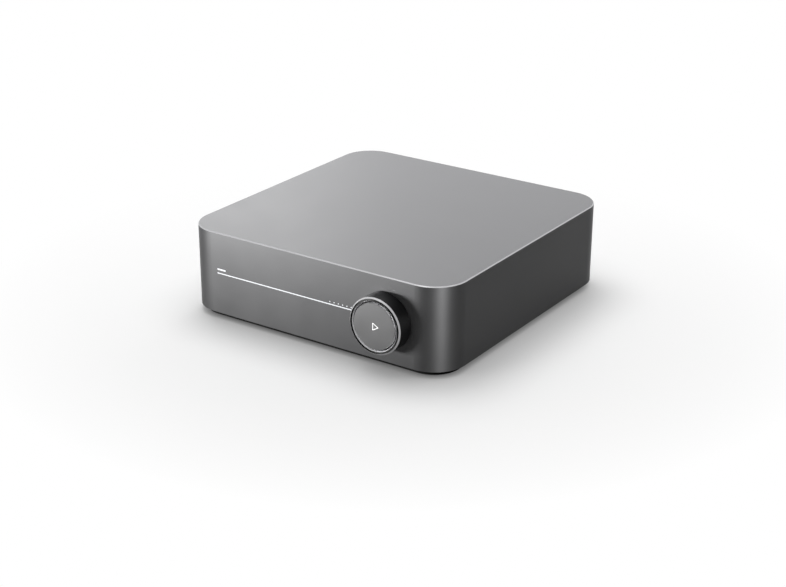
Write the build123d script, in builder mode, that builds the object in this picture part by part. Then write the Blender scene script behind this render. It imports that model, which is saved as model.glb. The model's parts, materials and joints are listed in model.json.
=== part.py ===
from build123d import *
import os

# Network music streamer with a built-in amplifier: a low square aluminium box with a volume knob.
# Millimetres. X is to the right seen from the front, the front face looks along -Y, and +Z is up.
# The origin lies on the floor under the middle of the housing.

# Clearances
overrun = 1.0
fit_gap = 0.2
inlay_gap = 0.05
free_gap = 0.3
running_gap = 0.05

# Housing
width = 190.0
depth = 190.0
shell_height = 52.6
wall = 2.5
roof = 3.0
corner_radius = 21.0
edge_bevel = 0.6
boss_inset = 13.0
boss_radius = 4.5
web_thickness = 3.0

# Base plate and feet
foot_drop = 1.0
base_drop = 3.4
base_inset = 4.0
base_floor = 2.0
base_wall = 2.4
flange_height = 2.0
foot_inset = 31.0
foot_radius = 8.0
foot_recess = 1.0
foot_edge = 0.4
foot_dimple_radius = 5.0
foot_dimple_depth = 0.4
vent_length = 34.0
vent_width = 2.4
vent_pitch = 7.0
vent_count = 9
vent_rows = 2
vent_row_pitch = 44.0
vent_at = 6.0

# Screws
screw_radius = 1.5
screw_head_radius = 2.8
screw_length = 9.0
small_screw_radius = 1.1
small_head_radius = 2.1
small_head_height = 1.4
small_screw_length = 5.6
socket_share = 0.45

# Front lights
line_height = 26.3
line_thickness = 0.7
line_margin = 25.2
line_under_knob = 5.0
dash_height = 28.8
dash_lead = 0.1
dash_length = 6.4
dash_thickness = 1.0
dot_height = 27.9
dots_lead = 39.7
dot_pitch = 3.06
dot_count = 6
dot_radius = 0.4
guide_depth = 7.2
line_rail = 1.6
dash_rail = 2.4
dash_rail_margin = 1.5
dot_rail = 1.4

# Front board
front_board_gap = 8.5
front_board_margin = 19.0
front_board_height = 34.0
front_board_bottom = 13.5
board_thickness = 1.6
front_post_side_inset = 6.0
front_post_inset = 4.0
front_post_radius = 2.8
led_width = 1.6
led_height = 0.8
line_led_count = 5

# Volume knob
knob_margin = 40.1
knob_radius = 17.45
knob_foot_gap = 0.8
knob_side_depth = 11.0
knob_bevel = 0.8
knob_groove_width = 1.2
knob_groove_depth = 0.8
knob_lip_width = 0.6
knob_lip_drop = 0.15
knob_web = 2.0
knob_back_depth = 3.4
knob_rim = 1.6
sleeve_radius = 7.0
sleeve_bore_radius = 4.4
sleeve_flange_radius = 10.5
sleeve_flange = 1.6
sleeve_wall_gap = 0.6
encoder_size = 24.0
encoder_round = 2.0
encoder_setback = 1.5
encoder_bearing = 2.1
encoder_web = 0.9

# Play button and its switch
button_depth = 12.1
button_thickness = 1.6
button_bevel = 0.3
button_gap = 0.65
button_skirt_inner = 10.0
button_skirt_outer = 12.0
button_skirt_height = 2.0
stem_radius = 3.4
stem_square = 4.0
switch_size = 6.2
switch_height = 3.2
plunger_radius = 1.7
plunger_length = 1.4
plunger_bore_depth = 1.7

# Rear panel
opening_margin = 23.0
opening_drop = 6.0
opening_round = 3.0
panel_setback = 0.8
panel_flange = 1.5
panel_flange_side = 2.0
panel_flange_rise = 1.6
panel_screw_inset = 3.0
panel_screw_low = 12.5
panel_screw_high = 45.5
lug_width = 8.0
lug_depth = 8.0
lug_height = 9.0

# Boards
board_rise = 6.0
board_rear_gap = 12.5
board_front_gap = 35.0
board_side_gap = 19.0
main_board_right = 20.0
power_board_left = 28.0
board_hole_inset = 5.0
board_hole_rear_inset = 20.5
standoff_radius = 3.2

# Mains inlet
inlet_x = 51.5
inlet_width = 25.0
inlet_height = 17.0
inlet_round = 2.0
inlet_length = 20.0
inlet_mouth_width = 16.6
inlet_mouth_height = 8.3
inlet_mouth_depth = 12.0
inlet_pin_radius = 1.18
inlet_pin_pitch = 8.6
inlet_pin_length = 9.5
inlet_tail = 2.0
inlet_tail_width = 1.6

# Network socket
network_x = 28.5
network_width = 16.0
network_height = 13.4
network_length = 21.2
network_mouth_width = 11.8
network_mouth_height = 8.2
network_mouth_rise = 3.4
network_mouth_depth = 14.0
network_latch_width = 6.4
network_latch_height = 2.2

# Plug sockets with a sheet shell
usb_x = 14.5
usb_width = 5.9
usb_height = 13.3
usb_length = 14.0
usb_tongue_width = 1.9
usb_tongue_height = 11.1
usb_tongue_offset = 0.9
usb_tongue_length = 9.0
display_x = 0.0
display_width = 15.0
display_height = 5.6
display_taper = 2.0
display_length = 12.0
display_tongue_width = 10.0
display_tongue_height = 1.2
display_tongue_length = 7.5
sheet = 0.4
socket_back = 3.0
socket_proud = 0.3

# Optical socket
optical_x = -13.5
optical_size = 9.8
optical_length = 14.5
optical_mouth = 8.2
optical_mouth_depth = 9.5
optical_emitter_radius = 1.1
optical_emitter_length = 1.5
shutter_thickness = 0.7
shutter_inset = 0.7
shutter_hinge_drop = 0.8
shutter_pin_radius = 0.35
shutter_pin_reach = 0.4

# Phono jacks
jack_column_x = -26.0
jack_arm_x = -13.5
jack_low_z = 19.6
jack_high_z = 33.6
jack_block_width = 11.0
jack_block_depth = 11.0
jack_block_edge = 6.0
jack_sleeve_radius = 4.15
jack_sleeve_wall = 0.7
jack_shoulder = 0.2
jack_sleeve_length = 10.0
jack_sleeve_seat = 7.0
jack_insert_setback = 1.6
jack_contact_radius = 2.0
jack_contact_bore = 1.6
jack_contact_setback = 1.0

# Speaker posts
post_columns = (-39.0, -58.0)
post_rows = (22.2, 41.2)
block_plate = 3.0
block_margin = 6.8
collar_radius = 6.4
collar_height = 3.0
collar_bevel = 0.4
stud_radius = 3.0
stud_tail = 13.0
stud_reach = 22.8
stud_bore_radius = 2.0
stud_bore_length = 16.0
stud_edge = 0.3
wire_hole_radius = 1.2
wire_hole_rise = 2.2
stud_hex_radius = 5.0
stud_hex_height = 2.0
strap_thickness = 1.0
strap_pad_radius = 4.8
strap_leg_width = 3.0
strap_leg_offset = 5.5
strap_low_setback = 9.0
strap_high_setback = 11.5
cap_length = 22.0
cap_rim_radius = 6.3
cap_rim_length = 2.2
cap_radius = 5.8
cap_bevel = 0.8
cap_mouth_radius = 2.4
cap_end_wall = 1.8
cap_foot_radius = 3.6
cap_foot_depth = 5.5
cap_flutes = 12
cap_flute_radius = 0.9
cap_flute_bite = 0.45
nut_radius = 4.5

# Amplifier and supply
chip_size = 16.0
chip_height = 2.2
heatsink_side_margin = 5.0
heatsink_front_margin = 22.0
heatsink_rear_gap = 14.0
heatsink_module_gap = 1.0
heatsink_base = 4.0
heatsink_height = 30.0
fin_count = 9
fin_thickness = 1.6
inductor_size = 12.0
inductor_height = 9.0
inductor_round = 2.0
inductor_pitch = 15.0
inductor_count = 4
inductor_shift = 2.5
inductor_rear_margin = 40.5
module_side_margin = 10.0
module_front_margin = 22.0
module_width = 30.0
module_depth = 36.0
module_board = 1.0
module_shield_inset = 1.5
module_shield = 2.6
antenna_rear_margin = 26.5
antenna_side_margin = 22.0
antenna_pitch = 30.0
antenna_length = 22.0
antenna_height = 9.0
antenna_foot = 4.0
antenna_sheet = 0.5
capacitor_radius = 9.0
capacitor_height = 32.0
capacitor_edge = 0.8
capacitor_pitch = 21.0
capacitor_front_margin = 24.0
capacitor_rows = 2
core_shift = 4.0
core_front_margin = 82.0
core_width = 34.0
core_height = 28.0
core_depth = 12.0
core_limb = 8.0
core_yoke = 6.0
winding_gap = 0.4
power_sink_margin = 4.0
power_sink_depth = 56.0
power_sink_height = 28.0
power_sink_thickness = 2.0
power_sink_foot = 3.0
link_front_margin = 58.0
link_block = 6.0
link_pins = 6
link_pin_pitch = 2.54
link_pin_radius = 0.5
link_pin_rise = 3.0
cable_width = 16.0
cable_thickness = 0.4
cable_x = -30.0
cable_lap = 6.0
cable_reach = 9.0
cable_end_height = 24.0
cable_radius = 5.0

# Levels and faces that follow
shell_bottom = foot_drop + base_drop
shell_top = shell_bottom + shell_height
roof_underside = shell_top - roof
front = -depth / 2
rear = depth / 2
front_inside = front + wall
rear_inside = rear - wall
base_top = foot_drop + base_floor
flange_top = shell_bottom + flange_height
board_bottom = base_top + board_rise
board_top = board_bottom + board_thickness
front_board_face = front_inside + front_board_gap
front_board_back = front_board_face + board_thickness
front_post_low = front_board_bottom + front_post_inset
front_post_high = front_board_bottom + front_board_height - front_post_inset
knob_z = shell_bottom + shell_height / 2
line_z = shell_bottom + line_height
dash_z = shell_bottom + dash_height
dot_z = shell_bottom + dot_height
knob_x = width / 2 - knob_margin
line_start = -width / 2 + line_margin
line_end = knob_x - knob_radius + line_under_knob
dash_start = line_start + dash_lead
dot_start = knob_x - dots_lead
front_board_width = width - 2 * front_board_margin
front_post_x = front_board_width / 2 - front_post_side_inset
boss_x = width / 2 - boss_inset
boss_y = depth / 2 - boss_inset
foot_x = width / 2 - foot_inset
foot_y = depth / 2 - foot_inset
opening_top = shell_top - opening_drop
opening_width = width - 2 * opening_margin
panel_screw_x = opening_width / 2 - panel_screw_inset
panel_face = rear - panel_setback
panel_inside = rear_inside - panel_flange
board_rear = rear - board_rear_gap
board_front = front + board_front_gap
board_hole_rear = board_rear - board_hole_rear_inset
main_board_left = -width / 2 + board_side_gap
power_board_right = width / 2 - board_side_gap


def level(z):
    """Flat plane at height z, looking up."""
    return Plane.XY.offset(z)


def across(y):
    """Upright plane at depth y, looking to the front: extrude a negative amount to go to the rear."""
    return Plane.XZ.offset(-y)


def turning_plane(x, z):
    """Plane whose x is the radius from an axis at x, z and whose y is the depth along +Y."""
    return Plane(origin=(x, 0, z), x_dir=(1, 0, 0), z_dir=(0, 0, 1))


def turn(points, x, z):
    """Turn an outline of radius and depth round the axis along Y at x, z."""
    with BuildSketch(turning_plane(x, z)) as outline:
        with BuildLine():
            Polyline(points, close=True)
        make_face()
    revolve(outline.sketch, axis=Axis((x, 0, z), (0, 1, 0)))


def bar(radius, start, end, x, z, mode=Mode.ADD):
    """Round bar or bore along Y from start to end."""
    with BuildSketch(across(start)) as outline:
        with Locations((x, z)):
            Circle(radius)
    extrude(outline.sketch, amount=start - end, mode=mode)


def slab(x, y, z, size_x, size_y, size_z):
    """Block standing on height z with its middle at x, y."""
    with BuildSketch(level(z)) as outline:
        with Locations((x, y)):
            Rectangle(size_x, size_y)
    extrude(outline.sketch, amount=size_z)


def save(piece, name):
    piece.part.label = name
    export_step(piece.part, f"parts/{name}.step")


os.makedirs("parts", exist_ok=True)

# Housing: roof and four walls in one piece
boss_reach = (corner_radius - boss_inset) * 2**0.5
web_end = corner_radius - wall / 2
web_length = web_end - boss_reach
web_inset = corner_radius - (web_end + boss_reach) / 2 / 2**0.5
corners = ((1, 1), (-1, 1), (-1, -1), (1, -1))
pilot_radius = screw_radius
small_pilot_radius = small_screw_radius

with BuildPart() as housing:
    with BuildSketch(level(shell_bottom)):
        RectangleRounded(width, depth, corner_radius)
    extrude(amount=shell_height)
    chamfer(housing.faces().sort_by(Axis.Z)[-1].edges(), length=edge_bevel)
    with BuildSketch(level(shell_bottom)):
        RectangleRounded(width - 2 * wall, depth - 2 * wall, corner_radius - wall)
    extrude(amount=shell_height - roof, mode=Mode.SUBTRACT)
    # Corner bosses, each tied to its corner by a web
    with BuildSketch(level(flange_top)):
        for side_x, side_y in corners:
            with Locations((side_x * boss_x, side_y * boss_y)):
                Circle(boss_radius)
            with Locations((side_x * (width / 2 - web_inset), side_y * (depth / 2 - web_inset))):
                Rectangle(web_length, web_thickness, rotation=45 * side_x * side_y)
    extrude(amount=roof_underside - flange_top)
    with BuildSketch(level(flange_top)):
        with GridLocations(2 * boss_x, 2 * boss_y, 2, 2):
            Circle(pilot_radius)
    extrude(amount=screw_length, mode=Mode.SUBTRACT)
    # Blocks under the roof that take the rear panel's upper screws
    upper_block_bottom = panel_screw_high - lug_width / 2
    with BuildSketch(level(upper_block_bottom)):
        for side_x in (-1, 1):
            with Locations((side_x * panel_screw_x, panel_inside - lug_depth / 2)):
                Rectangle(lug_width, lug_depth)
    extrude(amount=roof_underside - upper_block_bottom)
    with BuildSketch(across(panel_inside)):
        with Locations((-panel_screw_x, panel_screw_high), (panel_screw_x, panel_screw_high)):
            Circle(small_pilot_radius)
    extrude(amount=small_screw_length, mode=Mode.SUBTRACT)
    # Posts that carry the front board
    with BuildSketch(across(front_board_face)):
        for height in (front_post_low, front_post_high):
            with Locations((-front_post_x, height), (front_post_x, height)):
                Circle(front_post_radius)
    extrude(amount=front_board_gap + wall / 2)
    with BuildSketch(across(front_board_face)):
        for height in (front_post_low, front_post_high):
            with Locations((-front_post_x, height), (front_post_x, height)):
                Circle(small_pilot_radius)
    extrude(amount=small_screw_length, mode=Mode.SUBTRACT)
    # Opening for the rear panel, open at the lower edge
    with BuildSketch(across(rear + overrun)) as opening:
        with Locations((0, (shell_bottom - overrun + opening_top) / 2)):
            Rectangle(opening_width, opening_top - shell_bottom + overrun)
        fillet(opening.vertices().group_by(Axis.Y)[-1], radius=opening_round)
    extrude(amount=wall + 2 * overrun, mode=Mode.SUBTRACT)
    # Bore for the knob's sleeve and the slots for the lights
    with BuildSketch(across(front - overrun)):
        with Locations((knob_x, knob_z)):
            Circle(sleeve_radius + sleeve_wall_gap)
        with Locations(((line_start + line_end) / 2, line_z)):
            Rectangle(line_end - line_start, line_thickness)
        with Locations((dash_start + dash_length / 2, dash_z)):
            Rectangle(dash_length, dash_thickness)
        for dot in range(dot_count):
            with Locations((dot_start + dot * dot_pitch, dot_z)):
                Circle(dot_radius)
    extrude(amount=-wall - 2 * overrun, mode=Mode.SUBTRACT)
save(housing, "housing")

# Base plate: a shallow dish whose flange lies inside the walls
underside = Plane(origin=(0, 0, foot_drop), x_dir=(1, 0, 0), z_dir=(0, 0, -1))
main_holes_x = (main_board_left + board_hole_inset, main_board_right - board_hole_inset)
power_holes_x = (power_board_left + board_hole_inset, power_board_right - board_hole_inset)
board_holes_y = (board_front + board_hole_inset, board_hole_rear)
main_holes = [(x, y) for x in main_holes_x for y in board_holes_y]
power_holes = [(x, y) for x in power_holes_x for y in board_holes_y]
lug_bottom = base_top
lug_top = panel_screw_low + lug_height / 2

with BuildPart() as base_plate:
    with BuildSketch(level(foot_drop)):
        RectangleRounded(width - 2 * base_inset, depth - 2 * base_inset, corner_radius - base_inset)
    extrude(amount=base_drop)
    flange_inset = wall + fit_gap
    with BuildSketch(level(shell_bottom)):
        RectangleRounded(width - 2 * flange_inset, depth - 2 * flange_inset, corner_radius - flange_inset)
    extrude(amount=flange_height)
    dish_inset = base_inset + base_wall
    with BuildSketch(level(base_top)):
        RectangleRounded(width - 2 * dish_inset, depth - 2 * dish_inset, corner_radius - dish_inset)
    extrude(amount=flange_top - base_top, mode=Mode.SUBTRACT)
    # Corner pads under the housing's bosses
    with BuildSketch(level(foot_drop)):
        with GridLocations(2 * boss_x, 2 * boss_y, 2, 2):
            Circle(boss_radius)
    extrude(amount=flange_top - foot_drop)
    # Posts for the two boards
    with BuildSketch(level(base_top)):
        with Locations(*main_holes, *power_holes):
            Circle(standoff_radius)
    extrude(amount=board_rise)
    with BuildSketch(level(board_bottom)):
        with Locations(*main_holes, *power_holes):
            Circle(small_pilot_radius)
    extrude(amount=small_head_height - small_screw_length, mode=Mode.SUBTRACT)
    # Lugs that take the rear panel's lower screws
    with BuildSketch(level(lug_bottom)):
        for side_x in (-1, 1):
            with Locations((side_x * panel_screw_x, panel_inside - lug_depth / 2)):
                Rectangle(lug_width, lug_depth)
    extrude(amount=lug_top - lug_bottom)
    with BuildSketch(across(panel_inside)):
        with Locations((-panel_screw_x, panel_screw_low), (panel_screw_x, panel_screw_low)):
            Circle(small_pilot_radius)
    extrude(amount=small_screw_length, mode=Mode.SUBTRACT)
    # Foot seats, vents and countersunk screw holes in the underside
    with BuildSketch(level(foot_drop)):
        with GridLocations(2 * foot_x, 2 * foot_y, 2, 2):
            Circle(foot_radius + fit_gap)
    extrude(amount=foot_recess, mode=Mode.SUBTRACT)
    with BuildSketch(level(foot_drop)):
        with Locations((0, vent_at)):
            with GridLocations(vent_pitch, vent_row_pitch, vent_count, vent_rows):
                SlotOverall(vent_length, vent_width, rotation=90)
    extrude(amount=base_floor, mode=Mode.SUBTRACT)
    with Locations(underside):
        with GridLocations(2 * boss_x, 2 * boss_y, 2, 2):
            CounterSinkHole(screw_radius, screw_head_radius)
save(base_plate, "base_plate")

# Rubber feet
foot_places = {
    "foot_front_left": (-foot_x, -foot_y),
    "foot_front_right": (foot_x, -foot_y),
    "foot_rear_left": (-foot_x, foot_y),
    "foot_rear_right": (foot_x, foot_y),
}
for name, place in foot_places.items():
    with BuildPart() as foot:
        with BuildSketch(level(0)):
            with Locations(place):
                Circle(foot_radius)
        extrude(amount=foot_drop + foot_recess)
        chamfer(foot.edges().sort_by(Axis.Z)[0], length=foot_edge)
        with BuildSketch(level(0)):
            with Locations(place):
                Circle(foot_dimple_radius)
        extrude(amount=foot_dimple_depth, mode=Mode.SUBTRACT)
    save(foot, name)


def socket_screw(plane, places, shank, head, head_height, length):
    """Pan-head screws on a plane that looks out of the joint, each with a hexagon socket."""
    with BuildSketch(plane) as heads:
        with Locations(*places):
            Circle(head)
    extrude(heads.sketch, amount=head_height)
    with BuildSketch(plane) as shanks:
        with Locations(*places):
            Circle(shank)
    extrude(shanks.sketch, amount=head_height - length)
    with BuildSketch(plane.offset(head_height)) as sockets:
        with Locations(*places):
            RegularPolygon(shank, side_count=6)
    extrude(sockets.sketch, amount=-head_height * socket_share, mode=Mode.SUBTRACT)


# Countersunk screws that hold the base
boss_places = [(side_x * boss_x, side_y * boss_y) for side_x, side_y in corners]
head_cone = screw_head_radius - screw_radius
standing = (Align.CENTER, Align.CENTER, Align.MIN)
screw_socket = screw_head_radius * socket_share
with BuildPart() as base_screws:
    with Locations(*[(x, y, foot_drop) for x, y in boss_places]):
        Cone(screw_head_radius, screw_radius, head_cone, align=standing)
    with Locations(*[(x, y, foot_drop + head_cone) for x, y in boss_places]):
        Cylinder(screw_radius, flange_top - foot_drop + screw_length - overrun - head_cone, align=standing)
    with BuildSketch(level(foot_drop)):
        with Locations(*boss_places):
            RegularPolygon(screw_socket, side_count=6)
    extrude(amount=screw_socket, mode=Mode.SUBTRACT)
save(base_screws, "base_screws")

# Rear panel with its socket cut-outs
network_z = board_top + network_height / 2
usb_z = board_top + usb_height / 2
display_z = board_top + display_height / 2
optical_z = board_top + optical_size / 2
inlet_z = board_top + inlet_height / 2
jack_places = [(jack_column_x, jack_low_z), (jack_column_x, jack_high_z), (jack_arm_x, jack_high_z)]
post_places = [(x, z) for x in post_columns for z in post_rows]
panel_screw_places = [
    (side_x * panel_screw_x, z) for side_x in (-1, 1) for z in (panel_screw_low, panel_screw_high)
]
panel_bottom = shell_bottom + fit_gap
panel_flange_bottom = flange_top + fit_gap
panel_top = opening_top - fit_gap
panel_flange_top = opening_top + panel_flange_rise

with BuildPart() as rear_panel:
    with BuildSketch(across(panel_face)) as panel_outline:
        with Locations((0, (panel_bottom + panel_top) / 2)):
            Rectangle(opening_width - 2 * fit_gap, panel_top - panel_bottom)
        fillet(panel_outline.vertices().group_by(Axis.Y)[-1], radius=opening_round - fit_gap)
    extrude(amount=panel_face - rear_inside)
    with BuildSketch(across(rear_inside)):
        with Locations((0, (panel_flange_bottom + panel_flange_top) / 2)):
            Rectangle(opening_width + 2 * panel_flange_side, panel_flange_top - panel_flange_bottom)
    extrude(amount=panel_flange)
    with BuildSketch(across(panel_face + overrun)):
        with Locations((inlet_x, inlet_z)):
            RectangleRounded(inlet_width + 2 * fit_gap, inlet_height + 2 * fit_gap, inlet_round)
        with Locations((network_x, network_z)):
            Rectangle(network_width + 2 * fit_gap, network_height + 2 * fit_gap)
        with Locations((usb_x, usb_z)):
            Rectangle(usb_width + 2 * fit_gap, usb_height + 2 * fit_gap)
        with Locations((display_x, display_z)):
            Rectangle(display_width + 2 * fit_gap, display_height + 2 * fit_gap)
        with Locations((optical_x, optical_z)):
            Rectangle(optical_size + 2 * fit_gap, optical_size + 2 * fit_gap)
        with Locations(*jack_places):
            Circle(jack_sleeve_radius + fit_gap)
        with Locations(*post_places):
            Circle(collar_radius + fit_gap)
        with Locations(*panel_screw_places):
            Circle(small_screw_radius)
    extrude(amount=panel_face - panel_inside + 2 * overrun, mode=Mode.SUBTRACT)
save(rear_panel, "rear_panel")

with BuildPart() as rear_panel_screws:
    socket_screw(
        Plane(origin=(0, panel_face, 0), x_dir=(-1, 0, 0), z_dir=(0, 1, 0)),
        [(-x, z) for x, z in panel_screw_places],
        small_screw_radius,
        small_head_radius,
        small_head_height,
        small_screw_length,
    )
save(rear_panel_screws, "rear_panel_screws")

# White line across the front: a thin face in the slot and a rail behind the wall
with BuildPart() as front_line_inlay:
    line_middle = (line_start + line_end) / 2
    with BuildSketch(across(front)):
        with Locations((line_middle, line_z)):
            Rectangle(line_end - line_start - 2 * inlay_gap, line_thickness - 2 * inlay_gap)
    extrude(amount=-wall)
    with BuildSketch(across(front_inside)):
        with Locations((line_middle, line_z)):
            Rectangle(line_end - line_start - 2 * inlay_gap, line_rail)
    extrude(amount=-guide_depth)
save(front_line_inlay, "front_line_inlay")

# Status lens
with BuildPart() as status_lens:
    dash_middle = dash_start + dash_length / 2
    with BuildSketch(across(front)):
        with Locations((dash_middle, dash_z)):
            Rectangle(dash_length - 2 * inlay_gap, dash_thickness - 2 * inlay_gap)
    extrude(amount=-wall)
    with BuildSketch(across(front_inside)):
        with Locations((dash_middle, dash_z)):
            Rectangle(dash_length + 2 * dash_rail_margin, dash_rail)
    extrude(amount=-guide_depth)
save(status_lens, "status_lens")

# Level light guide: a comb of pins on one rail
dot_places = [(dot_start + dot * dot_pitch, dot_z) for dot in range(dot_count)]
with BuildPart() as level_light_guide:
    dots_middle = dot_start + (dot_count - 1) * dot_pitch / 2
    with BuildSketch(across(front)):
        with Locations(*dot_places):
            Circle(dot_radius - inlay_gap)
    extrude(amount=-wall)
    with BuildSketch(across(front_inside)):
        with Locations((dots_middle, dot_z)):
            Rectangle(dot_count * dot_pitch, dot_rail)
    extrude(amount=-guide_depth)
save(level_light_guide, "level_light_guide")

# Front board, its screws and lights
front_hole_places = [
    (side_x * front_post_x, z) for side_x in (-1, 1) for z in (front_post_low, front_post_high)
]
with BuildPart() as front_board:
    with BuildSketch(across(front_board_face)):
        with Locations((0, front_board_bottom + front_board_height / 2)):
            Rectangle(front_board_width, front_board_height)
        with Locations(*front_hole_places):
            Circle(small_screw_radius, mode=Mode.SUBTRACT)
    extrude(amount=-board_thickness)
save(front_board, "front_board")

with BuildPart() as front_board_screws:
    socket_screw(
        Plane(origin=(0, front_board_back, 0), x_dir=(-1, 0, 0), z_dir=(0, 1, 0)),
        [(-x, z) for x, z in front_hole_places],
        small_screw_radius,
        small_head_radius,
        small_head_height,
        small_screw_length,
    )
save(front_board_screws, "front_board_screws")

line_led_pitch = (line_end - line_start) / line_led_count
line_led_places = [
    (line_start + (step + 0.5) * line_led_pitch, line_z) for step in range(line_led_count)
]
led_places = [*line_led_places, (dash_middle, dash_z), *dot_places]
with BuildPart() as front_leds:
    with BuildSketch(across(front_board_face)):
        with Locations(*led_places):
            Rectangle(led_width, led_height)
    extrude(amount=led_height)
save(front_leds, "front_leds")

# Volume knob: turned ring with a bevel, a groove and a lip that slopes in towards the button
lip_outer = knob_radius - knob_bevel - knob_groove_width
lip_inner = lip_outer - knob_lip_width
rim_depth = knob_side_depth + knob_bevel
lip_depth = rim_depth - knob_lip_drop
web_back = knob_foot_gap + knob_back_depth
web_front = web_back + knob_web
knob_points = [
    (knob_radius, front - knob_foot_gap),
    (knob_radius, front - knob_side_depth),
    (knob_radius - knob_bevel, front - rim_depth),
    (knob_radius - knob_bevel, front - rim_depth + knob_groove_depth),
    (lip_outer, front - rim_depth + knob_groove_depth),
    (lip_outer, front - lip_depth),
    (lip_inner, front - lip_depth + knob_lip_width),
    (lip_inner, front - web_front),
    (sleeve_radius, front - web_front),
    (sleeve_radius, front - web_back),
    (knob_radius - knob_rim, front - web_back),
    (knob_radius - knob_rim, front - knob_foot_gap),
]
with BuildPart() as knob_ring:
    turn(knob_points, knob_x, knob_z)
save(knob_ring, "knob_ring")

encoder_front = front_inside + encoder_setback
encoder_shelf = encoder_front + encoder_bearing
sleeve_end = encoder_shelf - free_gap
sleeve_points = [
    (sleeve_bore_radius, front - web_front),
    (sleeve_radius, front - web_front),
    (sleeve_radius, front - web_back),
    (sleeve_flange_radius, front - web_back),
    (sleeve_flange_radius, front - web_back + sleeve_flange),
    (sleeve_radius, front - web_back + sleeve_flange),
    (sleeve_radius, sleeve_end),
    (sleeve_bore_radius, sleeve_end),
]
with BuildPart() as knob_sleeve:
    turn(sleeve_points, knob_x, knob_z)
save(knob_sleeve, "knob_sleeve")

# Fixed half of the volume sensor: bearing for the sleeve, square guide for the button's stem
with BuildPart() as encoder_body:
    with BuildSketch(across(encoder_front)):
        with Locations((knob_x, knob_z)):
            RectangleRounded(encoder_size, encoder_size, encoder_round)
    extrude(amount=encoder_front - front_board_face)
    bar(sleeve_radius + running_gap, encoder_front, encoder_shelf, knob_x, knob_z, Mode.SUBTRACT)
    with BuildSketch(across(encoder_shelf)):
        with Locations((knob_x, knob_z)):
            Rectangle(stem_square + 2 * fit_gap, stem_square + 2 * fit_gap)
    extrude(amount=-encoder_web, mode=Mode.SUBTRACT)
    with BuildSketch(across(encoder_shelf + encoder_web)):
        with Locations((knob_x, knob_z)):
            Rectangle(switch_size + 2 * free_gap, switch_size + 2 * free_gap)
    extrude(amount=encoder_shelf + encoder_web - front_board_face, mode=Mode.SUBTRACT)
save(encoder_body, "encoder_body")

# Play button: a bevelled plate on a stem that ends square
button_radius = lip_inner - button_gap
button_back = button_depth - button_thickness
stem_end = encoder_shelf + encoder_web - inlay_gap
square_start = sleeve_end - free_gap
switch_face = front_board_face - switch_height
with BuildPart() as play_button:
    turn(
        [
            (0, front - button_depth),
            (button_radius - button_bevel, front - button_depth),
            (button_radius, front - button_depth + button_bevel),
            (button_radius, front - button_back),
            (button_skirt_outer, front - button_back),
            (button_skirt_outer, front - button_back + button_skirt_height),
            (button_skirt_inner, front - button_back + button_skirt_height),
            (button_skirt_inner, front - button_back),
            (stem_radius, front - button_back),
            (stem_radius, square_start),
            (0, square_start),
        ],
        knob_x,
        knob_z,
    )
    with BuildSketch(across(square_start)):
        with Locations((knob_x, knob_z)):
            Rectangle(stem_square, stem_square)
    extrude(amount=square_start - stem_end)
save(play_button, "play_button")

# Switch behind the button
with BuildPart() as button_switch:
    with BuildSketch(across(front_board_face)):
        with Locations((knob_x, knob_z)):
            Rectangle(switch_size, switch_size)
    extrude(amount=switch_height)
    bar(
        plunger_radius + free_gap,
        switch_face,
        switch_face + plunger_bore_depth,
        knob_x,
        knob_z,
        Mode.SUBTRACT,
    )
save(button_switch, "button_switch")

with BuildPart() as switch_plunger:
    bar(plunger_radius, stem_end, stem_end + plunger_length, knob_x, knob_z)
save(switch_plunger, "switch_plunger")


# Boards
def circuit_board(left, right, holes):
    """Board between the base's posts with a hole over each."""
    with BuildSketch(level(board_bottom)) as outline:
        with Locations(((left + right) / 2, (board_front + board_rear) / 2)):
            Rectangle(right - left, board_rear - board_front)
        with Locations(*holes):
            Circle(small_screw_radius, mode=Mode.SUBTRACT)
    extrude(outline.sketch, amount=board_thickness)


with BuildPart() as main_board:
    circuit_board(main_board_left, main_board_right, main_holes)
save(main_board, "main_board")

with BuildPart() as power_board:
    circuit_board(power_board_left, power_board_right, power_holes)
save(power_board, "power_board")

with BuildPart() as board_screws:
    socket_screw(
        level(board_top),
        [*main_holes, *power_holes],
        small_screw_radius,
        small_head_radius,
        small_head_height,
        small_screw_length,
    )
save(board_screws, "board_screws")

# Places on the boards: each part keeps its margins to the board's edges and its neighbours
module_x = main_board_right - module_side_margin - module_width / 2
module_y = board_front + module_front_margin + module_depth / 2
antenna_x = main_board_right - antenna_side_margin
antenna_y = board_rear - antenna_rear_margin
inductor_y = board_rear - inductor_rear_margin
heatsink_left = main_board_left + heatsink_side_margin
heatsink_right = module_x - module_width / 2 - heatsink_module_gap
heatsink_front = board_front + heatsink_front_margin
heatsink_rear = inductor_y - inductor_size / 2 - heatsink_rear_gap
chip_x = (heatsink_left + heatsink_right) / 2
chip_y = (heatsink_front + heatsink_rear) / 2
inductor_x = chip_x + inductor_shift
power_board_middle = (power_board_left + power_board_right) / 2
capacitor_x = power_board_middle
capacitor_y = board_front + capacitor_front_margin
core_x = power_board_middle - core_shift
core_y = board_front + core_front_margin
power_sink_x = power_board_right - power_sink_margin
link_y = board_front + link_front_margin
cable_start = board_front + cable_lap
cable_bend = board_front - cable_reach

# Streamer module: a small board under a shield
with BuildPart() as wireless_module:
    slab(module_x, module_y, board_top, module_width, module_depth, module_board)
    slab(
        module_x,
        module_y,
        board_top + module_board,
        module_width - 2 * module_shield_inset,
        module_depth - 2 * module_shield_inset,
        module_shield,
    )
save(wireless_module, "wireless_module")

# Stamped antennas, each bent up from its foot
with BuildPart() as wireless_antennas:
    for side_x in (-1, 1):
        x = antenna_x + side_x * antenna_pitch / 2
        slab(x, antenna_y - antenna_foot / 2, board_top, antenna_length, antenna_foot, antenna_sheet)
        slab(x, antenna_y, board_top, antenna_length, antenna_sheet, antenna_height)
save(wireless_antennas, "wireless_antennas")

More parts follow.
